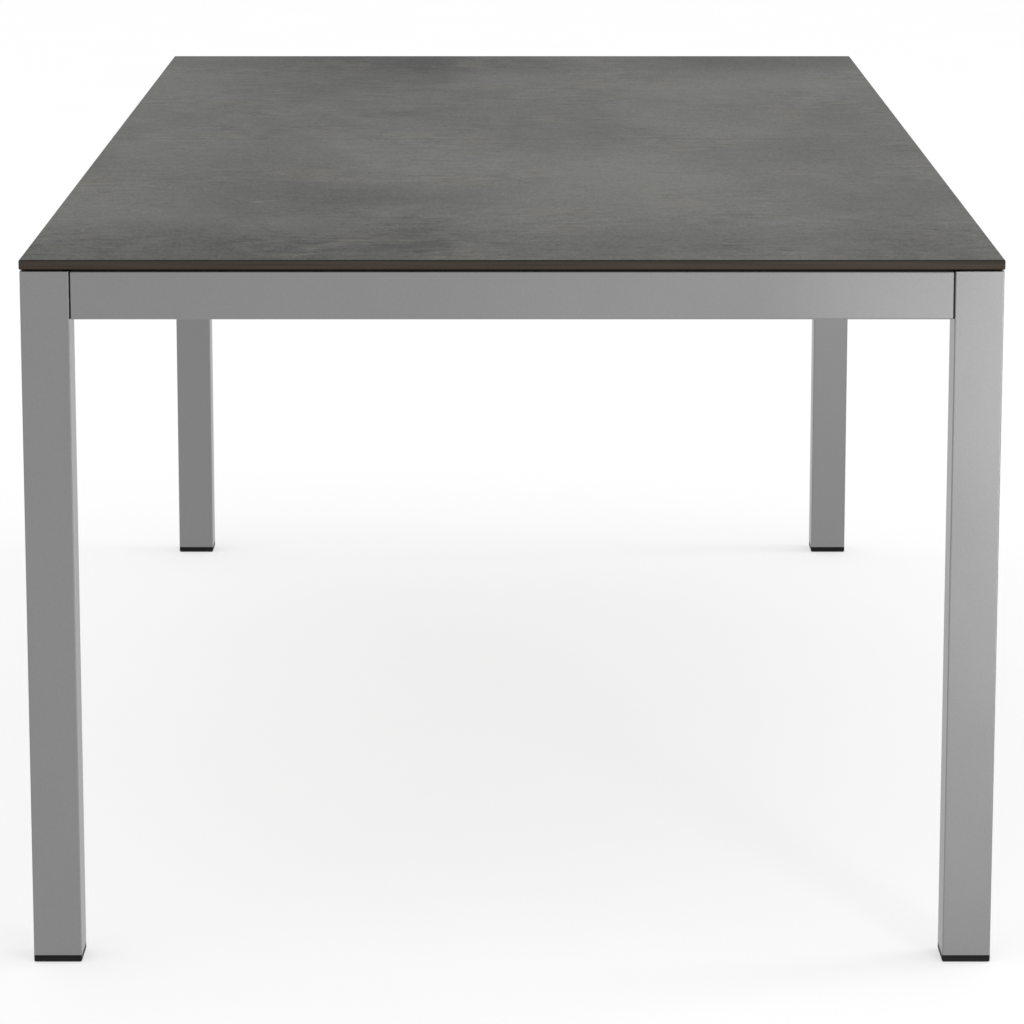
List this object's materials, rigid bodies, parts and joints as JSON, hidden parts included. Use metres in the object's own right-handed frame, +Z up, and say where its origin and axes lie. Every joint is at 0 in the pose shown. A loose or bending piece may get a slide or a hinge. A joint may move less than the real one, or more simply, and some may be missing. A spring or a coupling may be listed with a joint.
{
  "type": "extendable dining table",
  "caption": "Extendable dining table with a dark grey slate-look laminate top on a slim silver aluminium frame with square legs and a leaf stored inside",
  "frame": {"origin": "on the floor at the centre of the closed table", "axes": "X across the table's width, Y along its length, Z up"},
  "size_m": [1, 2.14, 0.74],
  "materials": {
    "laminate": "matt high-pressure laminate with a dark grey slate pattern and a brown-black core",
    "frame_aluminium": "satin silver-grey powder coat on aluminium",
    "mill_aluminium": "plain extruded aluminium",
    "black_plastic": "fine-grained black plastic",
    "soft_black": "soft black rubber",
    "zinc_steel": "zinc-plated steel",
    "nylon": "natural off-white nylon"
  },
  "bodies": {
    "centre_frame": {"centre_rail_left": "mill_aluminium", "centre_rail_right": "mill_aluminium", "centre_crossbars": "mill_aluminium", "rail_end_glides": "nylon", "guide_bushes": "nylon", "pinion_bracket": "zinc_steel", "pinion_axle": "zinc_steel", "rack_guides": "nylon"},
    "front_half": {"front_leg_left": "frame_aluminium", "front_leg_right": "frame_aluminium", "front_leg_plugs": "black_plastic", "front_feet": "black_plastic", "front_end_apron": "frame_aluminium", "front_apron_plugs": "black_plastic", "front_side_apron_left": "frame_aluminium", "front_side_apron_right": "frame_aluminium", "front_corner_brackets": "zinc_steel", "front_screws": "zinc_steel", "front_top_panel": "laminate", "front_top_spacers": "soft_black", "front_inner_brace": "frame_aluminium", "front_outer_brace": "frame_aluminium", "front_channels": "mill_aluminium", "front_channel_pads": "nylon", "front_ramps": "mill_aluminium", "front_rack": "zinc_steel"},
    "rear_half": {"rear_leg_left": "frame_aluminium", "rear_leg_right": "frame_aluminium", "rear_leg_plugs": "black_plastic", "rear_feet": "black_plastic", "rear_end_apron": "frame_aluminium", "rear_apron_plugs": "black_plastic", "rear_side_apron_left": "frame_aluminium", "rear_side_apron_right": "frame_aluminium", "rear_corner_brackets": "zinc_steel", "rear_screws": "zinc_steel", "rear_top_panel": "laminate", "rear_top_spacers": "soft_black", "rear_inner_brace": "frame_aluminium", "rear_outer_brace": "frame_aluminium", "rear_channels": "mill_aluminium", "rear_channel_pads": "nylon", "rear_ramps": "mill_aluminium", "rear_rack": "zinc_steel"},
    "pinion": {"sync_pinion": "nylon"},
    "leaf_cradle": {"cradle_side_bars": "mill_aluminium", "cradle_cross_members": "mill_aluminium", "cradle_guide_pins": "zinc_steel", "cradle_ramp_glides": "nylon", "leaf_buffers": "soft_black"},
    "leaf": {"leaf_panel": "laminate", "leaf_wear_plates": "zinc_steel", "leaf_guide_pins": "zinc_steel"},
    "front_lift": {"front_lift_shaft": "zinc_steel", "front_lever_grip": "black_plastic"},
    "rear_lift": {"rear_lift_shaft": "zinc_steel", "rear_lever_grip": "black_plastic"},
    "lock_left": {"lock_lever_left": "black_plastic"},
    "lock_right": {"lock_lever_right": "black_plastic"}
  },
  "joints": [
    {"name": "front_slide", "type": "slide", "parent": "centre_frame", "child": "front_half", "axis": [0, -1, 0], "range_m": [0, 0.2]},
    {"name": "rear_slide", "type": "slide", "parent": "centre_frame", "child": "rear_half", "axis": [0, 1, 0], "range_m": [0, 0.2]},
    {"name": "pinion_turn", "type": "hinge", "parent": "centre_frame", "child": "pinion", "pos_m": [0, 0, 0.685], "axis": [0, 0, -1], "range_deg": [0, 637]},
    {"name": "cradle_rise", "type": "slide", "parent": "centre_frame", "child": "leaf_cradle", "axis": [0, 0, 1], "range_m": [0, 0.012]},
    {"name": "leaf_lift", "type": "slide", "parent": "leaf_cradle", "child": "leaf", "axis": [0, 0, 1], "range_m": [0, 0.012]},
    {"name": "front_lift_turn", "type": "hinge", "parent": "leaf_cradle", "child": "front_lift", "pos_m": [0, -0.165, 0.697], "axis": [1, 0, 0], "range_deg": [0, 180]},
    {"name": "rear_lift_turn", "type": "hinge", "parent": "leaf_cradle", "child": "rear_lift", "pos_m": [0, 0.165, 0.697], "axis": [-1, 0, 0], "range_deg": [0, 180]},
    {"name": "left_lock_turn", "type": "hinge", "parent": "front_half", "child": "lock_left", "pos_m": [-0.4574, -0.28, 0.675], "axis": [0, 0, 1], "range_deg": [0, 90]},
    {"name": "right_lock_turn", "type": "hinge", "parent": "front_half", "child": "lock_right", "pos_m": [0.4574, -0.28, 0.675], "axis": [0, 0, -1], "range_deg": [0, 90]}
  ],
  "couplings": [
    {"joint": "rear_slide", "follows": "front_slide", "ratio": 1},
    {"joint": "pinion_turn", "follows": "front_slide", "rad_per_m": 55.556},
    {"joint": "cradle_rise", "follows": "front_slide", "ratio": 0.06},
    {"joint": "front_lift_turn", "follows": "leaf_lift", "rad_per_m": 261.8},
    {"joint": "rear_lift_turn", "follows": "leaf_lift", "rad_per_m": 261.8}
  ]
}
